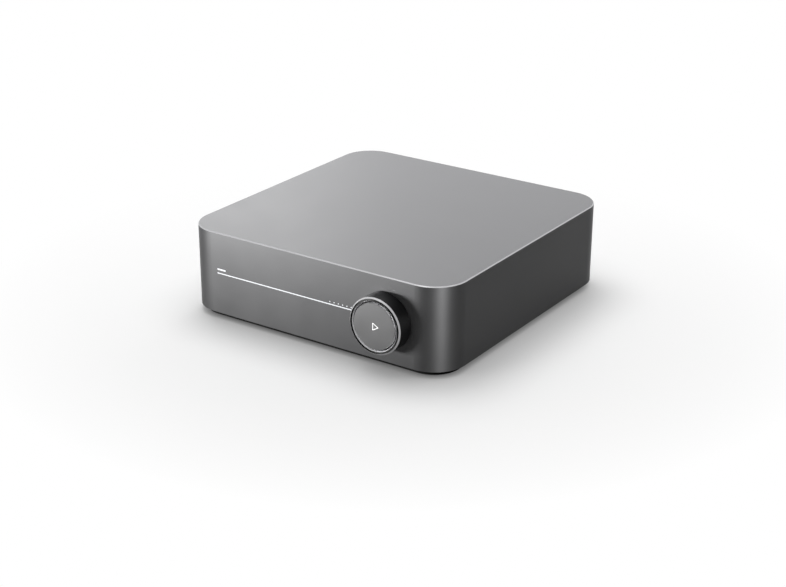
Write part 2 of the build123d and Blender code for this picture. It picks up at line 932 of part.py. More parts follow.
# Amplifier chip and its finned heatsink
with BuildPart() as amplifier_chip:
    slab(chip_x, chip_y, board_top, chip_size, chip_size, chip_height)
save(amplifier_chip, "amplifier_chip")

heatsink_bottom = board_top + chip_height
heatsink_width = heatsink_right - heatsink_left
heatsink_depth = heatsink_rear - heatsink_front
fin_pitch = (heatsink_width - fin_thickness) / (fin_count - 1)
with BuildPart() as amplifier_heatsink:
    slab(chip_x, chip_y, heatsink_bottom, heatsink_width, heatsink_depth, heatsink_base)
    with BuildSketch(level(heatsink_bottom + heatsink_base)):
        with Locations((chip_x, chip_y)):
            with GridLocations(fin_pitch, 0, fin_count, 1):
                Rectangle(fin_thickness, heatsink_depth)
    extrude(amount=heatsink_height - heatsink_base)
save(amplifier_heatsink, "amplifier_heatsink")

with BuildPart() as output_inductors:
    with BuildSketch(level(board_top)):
        with Locations((inductor_x, inductor_y)):
            with GridLocations(inductor_pitch, 0, inductor_count, 1):
                RectangleRounded(inductor_size, inductor_size, inductor_round)
    extrude(amount=inductor_height)
save(output_inductors, "output_inductors")

# Supply parts
with BuildPart() as reservoir_capacitors:
    with BuildSketch(level(board_top)):
        with Locations((capacitor_x, capacitor_y)):
            with GridLocations(capacitor_pitch, capacitor_pitch, 2, capacitor_rows):
                Circle(capacitor_radius)
    extrude(amount=capacitor_height)
    chamfer(reservoir_capacitors.faces().group_by(Axis.Z)[-1].edges(), length=capacitor_edge)
save(reservoir_capacitors, "reservoir_capacitors")

window_width = core_width / 2 - core_limb
window_height = core_height - 2 * core_yoke
core_bottom = board_top
with BuildPart() as transformer_core:
    with BuildSketch(across(core_y - core_depth / 2)):
        with Locations((core_x, core_bottom + core_height / 2)):
            Rectangle(core_width, core_height)
            with GridLocations(core_limb + window_width, 0, 2, 1):
                Rectangle(window_width, window_height, mode=Mode.SUBTRACT)
    extrude(amount=-core_depth)
save(transformer_core, "transformer_core")

winding_build = window_width - 2 * winding_gap
with BuildPart() as transformer_winding:
    with BuildSketch(level(core_bottom + core_yoke + winding_gap)):
        with Locations((core_x, core_y)):
            RectangleRounded(
                core_limb + 2 * winding_gap + 2 * winding_build,
                core_depth + 2 * winding_gap + 2 * winding_build,
                winding_build / 2,
            )
            Rectangle(
                core_limb + 2 * winding_gap, core_depth + 2 * winding_gap, mode=Mode.SUBTRACT
            )
    extrude(amount=window_height - 2 * winding_gap)
save(transformer_winding, "transformer_winding")

with BuildPart() as power_heatsink:
    slab(
        power_sink_x, core_y, board_top, power_sink_thickness, power_sink_depth, power_sink_height
    )
    slab(
        power_sink_x - power_sink_foot / 2,
        core_y,
        board_top,
        power_sink_foot + power_sink_thickness,
        power_sink_depth,
        power_sink_thickness,
    )
save(power_heatsink, "power_heatsink")

# Jumper between the boards: two header blocks and the pins between them
link_left = main_board_right - link_block
link_right = power_board_left + link_block
link_length = link_pins * link_pin_pitch
with BuildPart() as power_link:
    for x in (link_left, link_right):
        slab(x, link_y, board_top, link_block, link_length, link_block)
    with BuildSketch(Plane.YZ.offset(link_left)):
        with Locations((link_y, board_top + link_pin_rise)):
            with GridLocations(link_pin_pitch, 0, link_pins, 1):
                Circle(link_pin_radius)
    extrude(amount=link_right - link_left)
save(power_link, "power_link")

# Flat cable from the main board up to the front board
with BuildPart() as front_flat_cable:
    with BuildSketch(Plane.YZ.offset(cable_x)):
        with BuildLine():
            FilletPolyline(
                (cable_start, board_top + cable_thickness / 2),
                (cable_bend, board_top + cable_thickness / 2),
                (cable_bend, cable_end_height),
                (front_board_back + cable_thickness, cable_end_height),
                radius=cable_radius,
            )
        trace(line_width=cable_thickness)
    extrude(amount=cable_width / 2, both=True)
save(front_flat_cable, "front_flat_cable")

# Mains inlet with two pins
inlet_face = panel_face + socket_proud
with BuildPart() as mains_inlet:
    with BuildSketch(across(inlet_face)):
        with Locations((inlet_x, inlet_z)):
            RectangleRounded(inlet_width, inlet_height, inlet_round - fit_gap)
    extrude(amount=inlet_length)
    with BuildSketch(across(inlet_face)):
        with Locations((inlet_x, inlet_z)):
            SlotOverall(inlet_mouth_width, inlet_mouth_height)
    extrude(amount=inlet_mouth_depth, mode=Mode.SUBTRACT)
    with BuildSketch(across(inlet_face - inlet_mouth_depth)):
        with Locations((inlet_x, inlet_z)):
            with GridLocations(inlet_pin_pitch, 0, 2, 1):
                Circle(inlet_pin_radius)
    extrude(amount=inlet_length - inlet_mouth_depth, mode=Mode.SUBTRACT)
save(mains_inlet, "mains_inlet")

inlet_back = inlet_face - inlet_length
with BuildPart() as inlet_pins:
    with BuildSketch(across(inlet_face - inlet_mouth_depth + inlet_pin_length)):
        with Locations((inlet_x, inlet_z)):
            with GridLocations(inlet_pin_pitch, 0, 2, 1):
                Circle(inlet_pin_radius)
    extrude(amount=inlet_pin_length + inlet_length - inlet_mouth_depth + inlet_tail)
    with BuildSketch(level(board_top)):
        with Locations((inlet_x, inlet_back - inlet_tail / 2)):
            with GridLocations(inlet_pin_pitch, 0, 2, 1):
                Rectangle(inlet_tail_width, inlet_tail)
    extrude(amount=inlet_z - board_top)
save(inlet_pins, "inlet_pins")

# Network socket with its latch notch
socket_face = panel_face + socket_proud
with BuildPart() as network_socket:
    with BuildSketch(across(socket_face)):
        with Locations((network_x, network_z)):
            Rectangle(network_width, network_height)
    extrude(amount=network_length)
    mouth_bottom = board_top + network_mouth_rise
    with BuildSketch(across(socket_face)):
        with Locations((network_x, mouth_bottom + network_mouth_height / 2)):
            Rectangle(network_mouth_width, network_mouth_height)
        with Locations((network_x, mouth_bottom - network_latch_height / 2)):
            Rectangle(network_latch_width, network_latch_height)
    extrude(amount=network_mouth_depth, mode=Mode.SUBTRACT)
save(network_socket, "network_socket")

# Upright plug socket: sheet shell with a closed back
with BuildPart() as usb_socket:
    with BuildSketch(across(socket_face)):
        with Locations((usb_x, usb_z)):
            Rectangle(usb_width, usb_height)
    extrude(amount=usb_length)
    with BuildSketch(across(socket_face)):
        with Locations((usb_x, usb_z)):
            Rectangle(usb_width - 2 * sheet, usb_height - 2 * sheet)
    extrude(amount=usb_length - socket_back, mode=Mode.SUBTRACT)
save(usb_socket, "usb_socket")

with BuildPart() as usb_tongue:
    with BuildSketch(across(socket_face - usb_length + socket_back)):
        with Locations((usb_x - usb_tongue_offset, usb_z)):
            Rectangle(usb_tongue_width, usb_tongue_height)
    extrude(amount=-usb_tongue_length)
save(usb_tongue, "usb_tongue")


# Flat display socket: its shell is narrower at the bottom
def tapered_outline(inset):
    """Outline of the socket's shell, drawn in by an inset."""
    half = display_width / 2 - inset
    top = display_height / 2 - inset
    narrow = display_width / 2 - display_taper - inset / 2
    shoulder = top - display_height / 2
    with BuildLine() as outline:
        Polyline(
            (-half, top), (half, top), (half, shoulder), (narrow, -top), (-narrow, -top),
            (-half, shoulder), close=True,
        )
    make_face(outline.edges())


with BuildPart() as display_socket:
    with BuildSketch(across(socket_face).shift_origin((display_x, socket_face, display_z))):
        tapered_outline(0)
    extrude(amount=display_length)
    with BuildSketch(across(socket_face).shift_origin((display_x, socket_face, display_z))):
        tapered_outline(sheet)
    extrude(amount=display_length - socket_back, mode=Mode.SUBTRACT)
save(display_socket, "display_socket")

with BuildPart() as display_tongue:
    with BuildSketch(across(socket_face - display_length + socket_back)):
        with Locations((display_x, display_z)):
            Rectangle(display_tongue_width, display_tongue_height)
    extrude(amount=-display_tongue_length)
save(display_tongue, "display_tongue")

# Optical socket and its sprung flap
mouth_top = optical_z + optical_mouth / 2
hinge_z = mouth_top - shutter_hinge_drop
hinge_y = socket_face - shutter_inset - shutter_thickness / 2
mouth_floor = socket_face - optical_mouth_depth
with BuildPart() as optical_socket:
    with BuildSketch(across(socket_face)):
        with Locations((optical_x, optical_z)):
            Rectangle(optical_size, optical_size)
    extrude(amount=optical_length)
    with BuildSketch(across(socket_face)):
        with Locations((optical_x, optical_z)):
            Rectangle(optical_mouth, optical_mouth)
    extrude(amount=optical_mouth_depth, mode=Mode.SUBTRACT)
    bar(
        optical_emitter_radius,
        mouth_floor + optical_emitter_length,
        mouth_floor - sheet,
        optical_x,
        optical_z,
    )
    hinge_bore = optical_mouth / 2 + shutter_pin_reach + inlay_gap
    with BuildSketch(Plane.YZ.offset(optical_x)):
        with Locations((hinge_y, hinge_z)):
            Circle(shutter_pin_radius + running_gap)
    extrude(amount=hinge_bore, both=True, mode=Mode.SUBTRACT)
save(optical_socket, "optical_socket")

flap_width = optical_mouth - 2 * free_gap
flap_bottom = optical_z - optical_mouth / 2 + free_gap
with BuildPart() as optical_shutter:
    with BuildSketch(Plane.YZ.offset(optical_x)):
        with Locations((hinge_y, (flap_bottom + hinge_z) / 2)):
            Rectangle(shutter_thickness, hinge_z - flap_bottom)
        with Locations((hinge_y, hinge_z)):
            Circle(shutter_thickness / 2)
    extrude(amount=flap_width / 2, both=True)
    with BuildSketch(Plane.YZ.offset(optical_x)):
        with Locations((hinge_y, hinge_z)):
            Circle(shutter_pin_radius)
    extrude(amount=optical_mouth / 2 + shutter_pin_reach, both=True)
save(optical_shutter, "optical_shutter")

# Phono jacks: one moulded block with an arm, metal sleeves, coloured inserts and contacts
jack_end = panel_face + jack_sleeve_length
jack_start = panel_inside - jack_sleeve_seat
jack_seat_radius = jack_sleeve_radius - jack_shoulder
block_top = jack_high_z + jack_block_edge
with BuildPart() as jack_block:
    with BuildSketch(across(panel_inside)):
        with Locations((jack_column_x, (board_top + block_top) / 2)):
            Rectangle(jack_block_width, block_top - board_top)
        arm_left = jack_column_x
        arm_right = jack_arm_x + jack_block_edge
        with Locations(((arm_left + arm_right) / 2, jack_high_z)):
            Rectangle(arm_right - arm_left, 2 * jack_block_edge)
    extrude(amount=jack_block_depth)
    with BuildSketch(across(panel_inside)):
        with Locations(*jack_places):
            Circle(jack_seat_radius)
    extrude(amount=jack_sleeve_seat, mode=Mode.SUBTRACT)
save(jack_block, "jack_block")

insert_radius = jack_sleeve_radius - jack_sleeve_wall
insert_end = jack_end - jack_insert_setback
contact_end = insert_end - jack_contact_setback
with BuildPart() as jack_conductors:
    with BuildSketch(across(jack_end)):
        with Locations(*jack_places):
            Circle(jack_sleeve_radius)
            Circle(insert_radius, mode=Mode.SUBTRACT)
    extrude(amount=jack_sleeve_length)
    with BuildSketch(across(panel_face)):
        with Locations(*jack_places):
            Circle(jack_seat_radius)
            Circle(insert_radius, mode=Mode.SUBTRACT)
    extrude(amount=panel_face - jack_start)
    with BuildSketch(across(contact_end)):
        with Locations(*jack_places):
            Circle(jack_contact_radius)
            Circle(jack_contact_bore, mode=Mode.SUBTRACT)
    extrude(amount=contact_end - jack_start)
save(jack_conductors, "jack_conductors")

insert_names = ("jack_insert_red", "jack_insert_white", "jack_insert_black")
for name, place in zip(insert_names, jack_places):
    with BuildPart() as jack_insert:
        with BuildSketch(across(insert_end)):
            with Locations(place):
                Circle(insert_radius)
                Circle(jack_contact_radius, mode=Mode.SUBTRACT)
        extrude(amount=insert_end - jack_start)
    save(jack_insert, name)

# Speaker posts: a moulded block whose collars stand through the panel
collar_end = panel_face + collar_height
posts_x = sum(post_columns) / 2
posts_z = sum(post_rows) / 2
block_width = post_columns[0] - post_columns[1] + 2 * block_margin
block_height = post_rows[1] - post_rows[0] + 2 * block_margin
with BuildPart() as terminal_block:
    with BuildSketch(across(panel_inside)):
        with Locations((posts_x, posts_z)):
            Rectangle(block_width, block_height)
    extrude(amount=block_plate)
    with BuildSketch(across(collar_end)):
        with Locations(*post_places):
            Circle(collar_radius)
    extrude(amount=collar_end - panel_inside)
    chamfer(terminal_block.faces().sort_by(Axis.Y)[-4:].edges(), length=collar_bevel)
    with BuildSketch(across(collar_end)):
        with Locations(*post_places):
            Circle(stud_radius + running_gap)
    extrude(amount=collar_end - panel_inside + block_plate, mode=Mode.SUBTRACT)
save(terminal_block, "terminal_block")

stud_start = panel_inside - stud_tail
stud_end = panel_face + stud_reach
hex_face = panel_inside - block_plate
wire_hole_y = collar_end + wire_hole_rise
with BuildPart() as terminal_studs:
    with BuildSketch(across(stud_end)):
        with Locations(*post_places):
            Circle(stud_radius)
    extrude(amount=stud_end - stud_start)
    chamfer(terminal_studs.faces().group_by(Axis.Y)[-1].edges(), length=stud_edge)
    with BuildSketch(across(hex_face)):
        with Locations(*post_places):
            RegularPolygon(stud_hex_radius, side_count=6)
    extrude(amount=stud_hex_height)
    with BuildSketch(across(stud_end)):
        with Locations(*post_places):
            Circle(stud_bore_radius)
    extrude(amount=stud_bore_length, mode=Mode.SUBTRACT)
    with BuildSketch(level(post_rows[0] - 2 * stud_radius)):
        with Locations(*[(x, wire_hole_y) for x in post_columns]):
            Circle(wire_hole_radius)
    extrude(amount=post_rows[1] - post_rows[0] + 4 * stud_radius, mode=Mode.SUBTRACT)
save(terminal_studs, "terminal_studs")

# Straps from the studs' tails down to the main board
with BuildPart() as speaker_straps:
    for row, setback in zip(post_rows, (strap_low_setback, strap_high_setback)):
        for column in post_columns:
            leg_x = column + strap_leg_offset
            with BuildSketch(across(panel_inside - setback)):
                with Locations((column, row)):
                    Circle(strap_pad_radius)
                with Locations((leg_x, (row + board_top) / 2)):
                    Rectangle(strap_leg_width, row - board_top)
                with Locations(((column + leg_x) / 2, row)):
                    Rectangle(strap_leg_offset, strap_leg_width)
                with Locations((column, row)):
                    Circle(stud_radius, mode=Mode.SUBTRACT)
            extrude(amount=strap_thickness)
save(speaker_straps, "speaker_straps")

# Caps and the threaded inserts that carry them along the studs
cap_start = collar_end + free_gap
cap_end = cap_start + cap_length
pocket_start = cap_start + cap_foot_depth
pocket_end = cap_end - cap_end_wall
rim_end = cap_start + cap_rim_length
cap_outline = [
    (cap_foot_radius, cap_start),
    (cap_rim_radius, cap_start),
    (cap_rim_radius, rim_end),
    (cap_radius, rim_end + cap_rim_radius - cap_radius),
    (cap_radius, cap_end - cap_bevel),
    (cap_radius - cap_bevel, cap_end),
    (cap_mouth_radius, cap_end),
    (cap_mouth_radius, pocket_end),
    (nut_radius + running_gap, pocket_end),
    (nut_radius + running_gap, pocket_start),
    (cap_foot_radius, pocket_start),
]
flute_start = rim_end + cap_rim_radius - cap_radius + cap_flute_radius
post_names = ("left_black", "left_red", "right_black", "right_red")
for name, (x, z) in zip(post_names, post_places):
    with BuildPart() as terminal_cap:
        turn(cap_outline, x, z)
        with BuildSketch(across(cap_end)):
            with Locations((x, z)):
                with PolarLocations(cap_radius + cap_flute_radius - cap_flute_bite, cap_flutes):
                    Circle(cap_flute_radius)
        extrude(amount=cap_end - flute_start, mode=Mode.SUBTRACT)
    save(terminal_cap, f"terminal_cap_{name}")
    with BuildPart() as terminal_nut:
        with BuildSketch(across(pocket_end - running_gap)):
            with Locations((x, z)):
                Circle(nut_radius)
                Circle(stud_radius + running_gap, mode=Mode.SUBTRACT)
        extrude(amount=pocket_end - pocket_start - 2 * running_gap)
    save(terminal_nut, f"terminal_nut_{name}")
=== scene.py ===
import json
import math

import bmesh
import bpy
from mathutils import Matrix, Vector


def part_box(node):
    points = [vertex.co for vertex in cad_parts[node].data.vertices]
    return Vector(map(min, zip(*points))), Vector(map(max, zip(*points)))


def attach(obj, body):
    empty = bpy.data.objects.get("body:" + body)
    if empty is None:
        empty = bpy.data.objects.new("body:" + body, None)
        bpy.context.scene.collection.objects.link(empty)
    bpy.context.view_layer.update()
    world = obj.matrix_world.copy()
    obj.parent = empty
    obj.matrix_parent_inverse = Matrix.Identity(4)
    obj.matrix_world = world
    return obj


# Looks of a network music streamer with a built-in amplifier. Everything is in metres, in the CAD frame:
# X to the right seen from the front, the front face looks along -Y, +Z up, the floor at z = 0.

MM = 0.001
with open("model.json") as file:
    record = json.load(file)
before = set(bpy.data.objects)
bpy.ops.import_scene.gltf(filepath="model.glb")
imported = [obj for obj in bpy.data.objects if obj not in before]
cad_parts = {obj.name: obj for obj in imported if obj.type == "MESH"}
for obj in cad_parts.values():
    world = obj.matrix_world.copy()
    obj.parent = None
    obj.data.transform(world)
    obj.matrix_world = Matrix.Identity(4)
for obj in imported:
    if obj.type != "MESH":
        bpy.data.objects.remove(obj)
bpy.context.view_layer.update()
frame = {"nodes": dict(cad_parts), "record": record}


def tone(red, green, blue):
    """Linear colour of a screen colour given as 0 to 255."""
    shares = [value / 255 for value in (red, green, blue)]
    return [s / 12.92 if s <= 0.04045 else ((s + 0.055) / 1.055) ** 2.4 for s in shares] + [1.0]


def grey(level, blue=0):
    """Grey of a screen level, with a little more blue in it."""
    return tone(level, level, level + blue)


def scaled(colour, share):
    return [min(1.0, channel * share) for channel in colour[:3]] + [1.0]


# Materials


class Nodes:
    """Adds nodes to a node tree and joins them."""

    def __init__(self, tree):
        self.tree = tree

    def node(self, kind, **settings):
        made = self.tree.nodes.new("ShaderNode" + kind)
        for setting, value in settings.items():
            setattr(made, setting, value)
        return made

    def join(self, source, target):
        self.tree.links.new(source, target)

    def math(self, operation, first, second=0.0):
        made = self.node("Math", operation=operation)
        for socket, value in zip(made.inputs, (first, second)):
            if isinstance(value, (int, float)):
                socket.default_value = value
            else:
                self.join(value, socket)
        return made.outputs[0]

    def range(self, value, low, high, start=0.3, end=0.7):
        """Runs from low to high while the value goes from start to end, which suit the middle of noise."""
        made = self.node("MapRange")
        made.inputs["From Min"].default_value = start
        made.inputs["From Max"].default_value = end
        made.inputs["To Min"].default_value = low
        made.inputs["To Max"].default_value = high
        self.join(value, made.inputs["Value"])
        return made.outputs["Result"]


class Finish(Nodes):
    """A node material with its shader, built up from noise on the object's own coordinates."""

    def __init__(self, name, metal=0.0, shine=0.5):
        self.material = bpy.data.materials.new(name)
        self.material.use_nodes = True
        super().__init__(self.material.node_tree)
        self.shader = self.tree.nodes["Principled BSDF"]
        self.shader.inputs["Metallic"].default_value = metal
        self.shader.inputs["Specular IOR Level"].default_value = shine
        self.spot = self.node("TexCoord")
        self.place = self.spot.outputs["Object"]

    def stretched(self, shares):
        """The object's coordinates scaled by a share on each axis."""
        mapping = self.node("Mapping")
        mapping.inputs["Scale"].default_value = shares
        self.join(self.place, mapping.inputs["Vector"])
        return mapping.outputs["Vector"]

    def grain(self, size, detail=3.0, vector=None):
        """Noise whose lumps are about size metres across."""
        noise = self.node("TexNoise")
        noise.inputs["Scale"].default_value = 1.0 / size
        noise.inputs["Detail"].default_value = detail
        self.join(vector or self.place, noise.inputs["Vector"])
        return noise.outputs["Fac"]

    def blend(self, share, first, second):
        """Colour between two colours or colour outputs."""
        mix = self.node("Mix", data_type="RGBA")
        self.join(share, mix.inputs["Factor"])
        for socket, colour in zip([s for s in mix.inputs if s.type == "RGBA"], (first, second)):
            if isinstance(colour, (list, tuple)):
                socket.default_value = colour
            else:
                self.join(colour, socket)
        return [s for s in mix.outputs if s.type == "RGBA"][0]

    def bump(self, height, depth):
        made = self.node("Bump")
        made.inputs["Strength"].default_value = 1.0
        made.inputs["Distance"].default_value = depth
        self.join(height, made.inputs["Height"])
        self.join(made.outputs["Normal"], self.shader.inputs["Normal"])

    def colour(self, value):
        self.join(value, self.shader.inputs["Base Color"])

    def rough(self, value):
        self.join(value, self.shader.inputs["Roughness"])


BROAD_LUMPS = 40
ROUGH_SPREAD = 0.05


def plain_finish(name, colour, rough, grain, depth, metal=0.0, shine=0.5, spread=0.06):
    """Evenly grained surface: colour and roughness wander a little, and the grain stands out as a bump.

    The grain's size and the bump's depth are in millimetres.
    """
    finish = Finish(name, metal, shine)
    fine = finish.grain(grain * MM)
    broad = finish.grain(grain * MM * BROAD_LUMPS, detail=2.0)
    finish.colour(finish.blend(broad, scaled(colour, 1 - spread), scaled(colour, 1 + spread)))
    finish.rough(finish.range(broad, rough - ROUGH_SPREAD, rough + ROUGH_SPREAD))
    finish.bump(fine, depth * MM)
    return finish.material


# Anodised aluminium: its blasted grain, the slow wander of its tone and its diamond-cut edges
BLAST_GRAIN = 0.16 * MM
BLAST_DEPTH = 0.004 * MM
WANDER_SIZE = 22 * MM
WANDER = 0.03
HALF_LEAN = 0.707
LEAN_LEEWAY = 0.2


def anodised(name, colour, metal, shine):
    """Bead-blasted aluminium. Gives the finish, its slow wander and its wandering colour."""
    finish = Finish(name, metal, shine)
    fine = finish.grain(BLAST_GRAIN, detail=2.0)
    finish.bump(fine, BLAST_DEPTH)
    broad = finish.grain(WANDER_SIZE, detail=2.0)
    body = finish.blend(broad, scaled(colour, 1 - WANDER), scaled(colour, 1 + WANDER))
    return finish, broad, body


def slanted(finish, axis):
    """1 on faces that lean halfway towards the axis, 0 on faces along or across it."""
    parts = finish.node("SeparateXYZ")
    finish.join(finish.spot.outputs["Normal"], parts.inputs["Vector"])
    lean = finish.math("ABSOLUTE", parts.outputs[axis])
    off = finish.math("ABSOLUTE", finish.math("SUBTRACT", lean, HALF_LEAN))
    return finish.math("LESS_THAN", off, LEAN_LEEWAY)


def cut_edges(name, axis, colour, polish, rough, smoother, metal, edge_metal, shine):
    """Anodised aluminium whose slanted edges are cut bare: lighter, smoother and more of a metal."""
    finish, broad, body = anodised(name, colour, metal, shine)
    edge = slanted(finish, axis)
    finish.colour(finish.blend(edge, body, polish))
    less = finish.math("MULTIPLY", edge, smoother)
    finish.rough(finish.math("SUBTRACT", finish.range(broad, *rough), less))
    metallic = finish.math("MAXIMUM", finish.math("MULTIPLY", edge, edge_metal), metal)
    finish.join(metallic, finish.shader.inputs["Metallic"])
    return finish.material


def button_finish():
    finish, broad, body = anodised("satin button plate", grey(203, 1), metal=0.03, shine=0.1)
    finish.colour(body)
    finish.rough(finish.range(broad, 0.38, 0.44))
    return finish.material


FROST_GRAIN = 0.3 * MM
FROST_DEPTH = 0.01 * MM


def glowing(name, colour, strength):
    """Frosted light guide, a little dimmer where the frost is thick."""
    finish = Finish(name)
    frost = finish.grain(FROST_GRAIN)
    finish.colour(finish.blend(frost, scaled(colour, 0.9), colour))
    finish.rough(finish.range(frost, 0.35, 0.5))
    finish.bump(frost, FROST_DEPTH)
    finish.join(finish.blend(frost, scaled(colour, 0.92), colour), finish.shader.inputs["Emission Color"])
    finish.shader.inputs["Emission Strength"].default_value = strength
    return finish.material


TRACK_PITCH = 4.5 * MM
TRACK_SHARE = 0.09
TRACK_RISE = 0.03 * MM


def board_finish():
    """Solder mask with copper runs showing through as slightly lighter, raised tracks."""
    finish = Finish("solder mask")
    cells = finish.node("TexVoronoi", feature="DISTANCE_TO_EDGE", distance="MANHATTAN")
    cells.inputs["Scale"].default_value = 1.0 / TRACK_PITCH
    finish.join(finish.place, cells.inputs["Vector"])
    track = finish.math("LESS_THAN", cells.outputs["Distance"], TRACK_SHARE)
    finish.colour(finish.blend(track, tone(24, 66, 40), tone(44, 98, 58)))
    finish.rough(finish.range(finish.grain(1.5 * MM), 0.3, 0.42))
    finish.bump(track, TRACK_RISE)
    return finish.material


BRUSH_GRAIN = 0.5 * MM
BRUSH_STRETCH = 0.04
BRUSH_DEPTH = 0.01 * MM


def brushed(name, colour, rough, along):
    """Metal with fine lines along one axis."""
    finish = Finish(name, metal=1.0)
    shares = [BRUSH_STRETCH if axis == along else 1.0 for axis in "xyz"]
    lines = finish.grain(BRUSH_GRAIN, vector=finish.stretched(shares))
    finish.colour(finish.blend(lines, scaled(colour, 0.88), scaled(colour, 1.05)))
    finish.rough(finish.range(lines, rough - 0.06, rough + 0.08))
    finish.bump(lines, BRUSH_DEPTH)
    return finish.material


LAP_SCALE = 0.1 / MM
LAP_WAVER = 1.5
LAP_RISE = 0.05 * MM


def wound_finish():
    """Tape laid round the windings, with its laps as low ridges."""
    finish = Finish("winding tape", shine=0.4)
    laps = finish.node("TexWave", wave_type="BANDS", bands_direction="Z")
    laps.inputs["Scale"].default_value = LAP_SCALE
    laps.inputs["Distortion"].default_value = LAP_WAVER
    finish.join(finish.place, laps.inputs["Vector"])
    finish.colour(finish.blend(laps.outputs["Fac"], tone(208, 172, 62), tone(228, 196, 92)))
    finish.rough(finish.range(finish.grain(1.2 * MM), 0.35, 0.5))
    finish.bump(laps.outputs["Fac"], LAP_RISE)
    return finish.material


MATERIALS = {
    "housing": cut_edges(
        "satin anodised aluminium", "Z", grey(146, 2), polish=grey(184, 2), rough=(0.43, 0.47),
        smoother=0.2, metal=0.03, edge_metal=1.0, shine=0.1,
    ),
    "knob": cut_edges(
        "dark anodised knob", "Y", grey(26, 1), polish=grey(202, 2), rough=(0.34, 0.4),
        smoother=0.06, metal=0.0, edge_metal=0.6, shine=0.15,
    ),
    "button": button_finish(),
    "base_plate": plain_finish("black powder coat", grey(22), 0.85, 0.35, 0.02, shine=0.05),
    "feet": plain_finish("black rubber", grey(48), 0.8, 0.5, 0.02, shine=0.25),
    "screws": plain_finish("black oxide steel", grey(58, 2), 0.38, 0.2, 0.004, metal=0.9),
    "rear_panel": plain_finish("spark-textured plastic", grey(52, 1), 0.55, 0.45, 0.035),
    "light_guide": glowing("lit line", tone(240, 243, 248), 0.8),
    "board": board_finish(),
    "lights": glowing("indicator light", tone(248, 248, 246), 1.2),
    "black_plastic": plain_finish("matt black plastic", grey(30), 0.42, 0.3, 0.012),
    "shield": brushed("tin-plated sheet", grey(205, 2), 0.32, "y"),
    "chip": plain_finish("moulded chip", grey(34), 0.45, 0.15, 0.006),
    "heatsink": brushed("extruded heatsink", grey(190, 3), 0.42, "y"),
    "ferrite": plain_finish("sintered ferrite", grey(66), 0.6, 0.4, 0.015, spread=0.15),
    "capacitor": plain_finish("capacitor sleeve", tone(34, 40, 66), 0.25, 0.8, 0.004),
    "winding": wound_finish(),
    "cable": plain_finish("flat film cable", tone(206, 208, 212), 0.35, 0.6, 0.01),
    "pins": plain_finish("nickel plate", tone(214, 210, 202), 0.22, 0.2, 0.002, metal=1.0),
    "gold": plain_finish("gold plate", tone(226, 190, 116), 0.2, 0.2, 0.002, metal=1.0),
    "white_plastic": plain_finish("glossy white plastic", grey(222), 0.28, 0.5, 0.004),
    "red_plastic": plain_finish("glossy red plastic", tone(176, 26, 26), 0.28, 0.5, 0.004),
}


def wear(piece, material):
    """Gives a piece one finish all over."""
    piece.data.materials.clear()
    piece.data.materials.append(material)


for part in frame["record"]["subparts"]:
    wear(frame["nodes"][part["node"]], MATERIALS[part["material_slot"]])

# Small pieces that the CAD model leaves to this scene
ROUND_STEPS = 2
SMOOTH_ANGLE = math.radians(35)


def deselect():
    """Leaves object mode with nothing selected."""
    if bpy.context.object and bpy.context.object.mode != "OBJECT":
        bpy.ops.object.mode_set(mode="OBJECT")
    bpy.ops.object.select_all(action="DESELECT")


def opened():
    """Opens the newest piece for shaping, with its place in its mesh."""
    bpy.ops.object.transform_apply(location=True, rotation=True, scale=True)
    bpy.ops.object.mode_set(mode="EDIT")
    return bpy.context.object


def block(place, size):
    """A box at its place, open for shaping."""
    deselect()
    bpy.ops.mesh.primitive_cube_add(size=1.0, location=place, scale=size)
    return opened()


def pick(piece, wanted):
    """Selects the faces whose normal passes a test."""
    bpy.ops.mesh.select_mode(type="FACE")
    bpy.ops.mesh.select_all(action="DESELECT")
    shape = bmesh.from_edit_mesh(piece.data)
    for face in shape.faces:
        face.select_set(wanted(face.normal))
    bmesh.update_edit_mesh(piece.data)


def pull(*way):
    """Extrudes what is selected."""
    bpy.ops.mesh.extrude_region_move(TRANSFORM_OT_translate={"value": way})


def face_outwards():
    bpy.ops.mesh.select_all(action="SELECT")
    bpy.ops.mesh.normals_make_consistent(inside=False)


def rounded(edge):
    """Bevels all edges of the mesh that is open."""
    bpy.ops.mesh.select_all(action="SELECT")
    bpy.ops.mesh.bevel(offset=edge, segments=ROUND_STEPS)


def repeat(piece, offsets):
    """Copies a piece to more places and joins the copies to it."""
    deselect()
    copies = []
    for offset in offsets:
        copy = piece.copy()
        copy.data = piece.data.copy()
        bpy.context.scene.collection.objects.link(copy)
        for vertex in copy.data.vertices:
            vertex.co += Vector(offset)
        copies.append(copy)
    for one in (piece, *copies):
        one.select_set(True)
    bpy.context.view_layer.objects.active = piece
    bpy.ops.object.join()


def settle(piece, name, body, slot):
    """Closes a finished piece: place in the mesh, its finish, smooth shading and the body that it rides."""
    deselect()
    piece.select_set(True)
    bpy.context.view_layer.objects.active = piece
    bpy.ops.object.transform_apply(location=True, rotation=True, scale=True)
    bpy.ops.object.shade_smooth_by_angle(angle=SMOOTH_ANGLE)
    piece.name = name
    wear(piece, MATERIALS[slot])
    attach(piece, body)


def corners(node):
    """Lowest corner, highest corner and middle of a CAD node."""
    low, high = (Vector(corner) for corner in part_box(node))
    return low, high, (low + high) / 2


# Play sign: a raised outline of a triangle on the button
SIGN_RADIUS = 2.85 * MM
SIGN_ROUND = 0.6 * MM
SIGN_ROUND_STEPS = 6
SIGN_STROKE = 0.4 * MM
SIGN_SHIFT = 0.4 * MM
SIGN_RISE = 0.05 * MM


